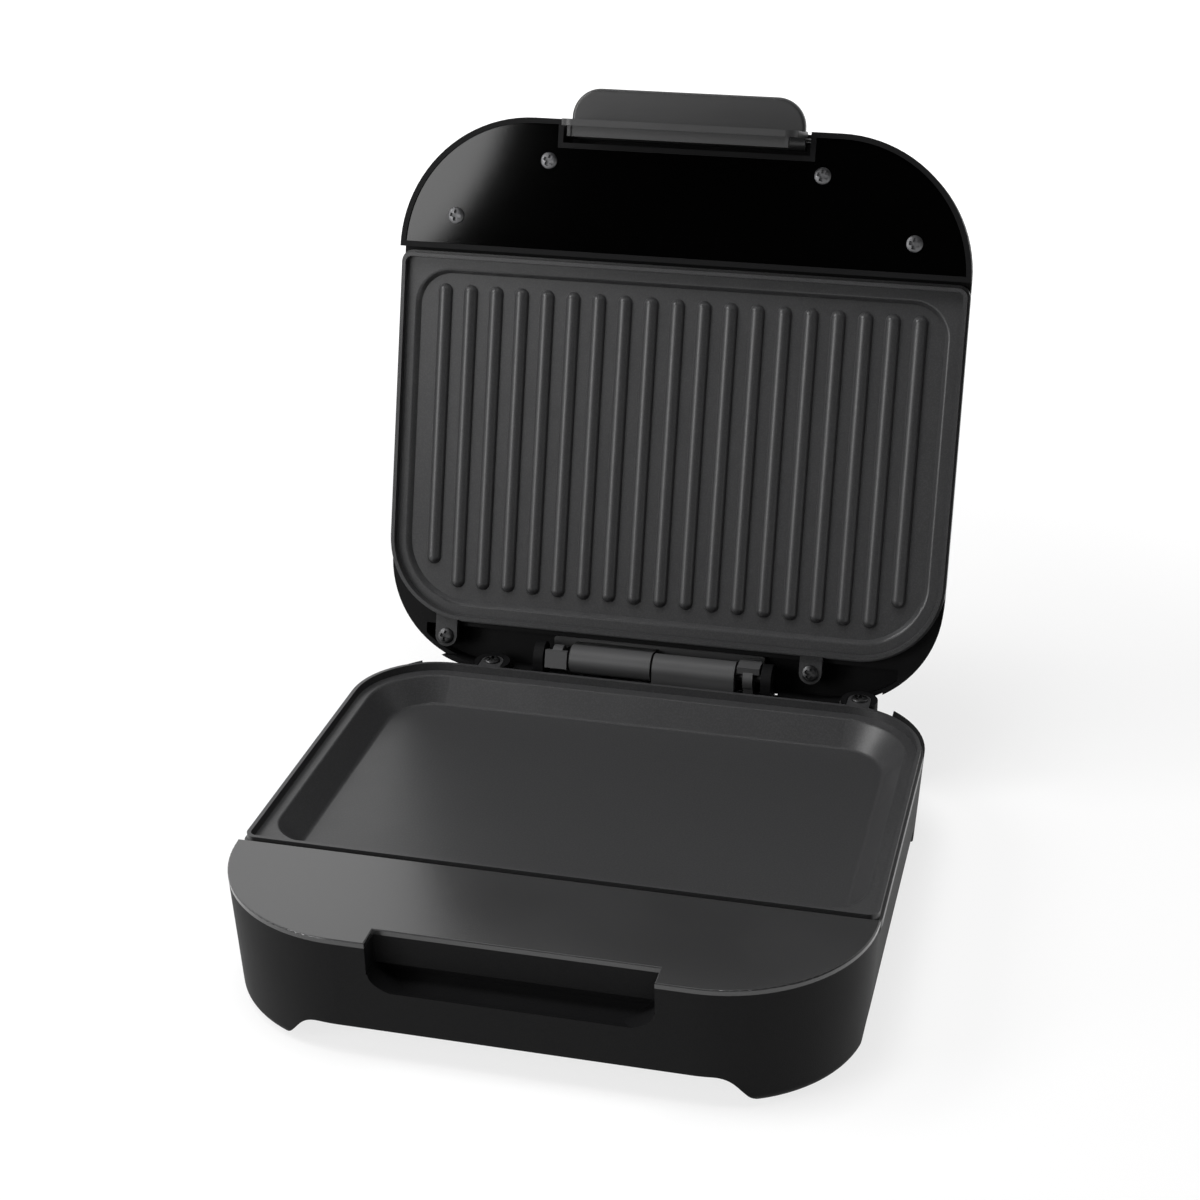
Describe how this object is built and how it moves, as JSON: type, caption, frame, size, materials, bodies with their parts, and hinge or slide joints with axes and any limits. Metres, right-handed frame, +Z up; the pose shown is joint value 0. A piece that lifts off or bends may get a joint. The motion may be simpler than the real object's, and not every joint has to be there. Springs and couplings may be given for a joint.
{
  "type": "sandwich maker",
  "caption": "Countertop sandwich maker, lid open: dark moulded cases, interleaved rear hinge, smooth lower tray plate, ribbed upper plate and a hooked front latch.",
  "frame": {"origin": "on the table, in the middle of the footprint with the lid open at its stop", "axes": "+X along the hinge to the right as seen from the latch side, +Y towards the hinge side, +Z up"},
  "size_m": [0.252, 0.3318, 0.2962],
  "materials": {
    "case_plastic": "fine textured, dark",
    "cover_plastic": "plain dark moulding",
    "deck_satin": "satin dark panel",
    "deck_gloss": "high gloss black panel",
    "latch_plastic": "glossy dark moulding",
    "coated_casting": "dark non-stick coating on a casting",
    "hinge_plastic": "smooth dark moulding",
    "pad_rubber": "soft matte",
    "light_plastic": "heat-resistant moulding",
    "red_lens": "clear red",
    "green_lens": "clear green",
    "bright_sheet": "bright aluminised sheet",
    "element_tube": "annealed tube",
    "steel": "zinc plated"
  },
  "bodies": {
    "base": {"base_housing": "case_plastic", "base_deck": "deck_satin", "base_deck_screws": "steel", "bottom_cover": "cover_plastic", "bottom_cover_screws": "steel", "foot_pads": "pad_rubber", "lower_plate": "coated_casting", "lower_plate_screws": "steel", "lower_element": "element_tube", "lower_element_straps": "steel", "lower_reflector": "bright_sheet", "lower_thermostat": "steel", "thermal_fuse": "steel", "terminal_block": "light_plastic", "cord_bushing": "pad_rubber", "base_hinge_leaf": "hinge_plastic", "base_hinge_screws": "steel", "hinge_pin": "steel"},
    "lid": {"lid_housing": "case_plastic", "lid_deck": "deck_gloss", "lid_deck_screws": "steel", "upper_plate": "coated_casting", "upper_plate_screws": "steel", "upper_element": "element_tube", "upper_element_straps": "steel", "upper_reflector": "bright_sheet", "upper_thermostat": "steel", "power_lens": "red_lens", "ready_lens": "green_lens", "lamp_holder": "light_plastic", "lid_hinge_leaf": "hinge_plastic", "lid_hinge_screws": "steel", "latch_pins": "steel"},
    "latch": {"latch_handle": "latch_plastic"}
  },
  "joints": [
    {"name": "lid_hinge", "type": "hinge", "parent": "base", "child": "lid", "pos_m": [0, 0.07127, 0.0544], "axis": [1, 0, 0], "range_deg": [0, 105.2]},
    {"name": "latch_pivot", "type": "hinge", "parent": "lid", "child": "latch", "pos_m": [0, 0.13908, 0.27763], "axis": [1, 0, 0], "range_deg": [0, 12]}
  ]
}
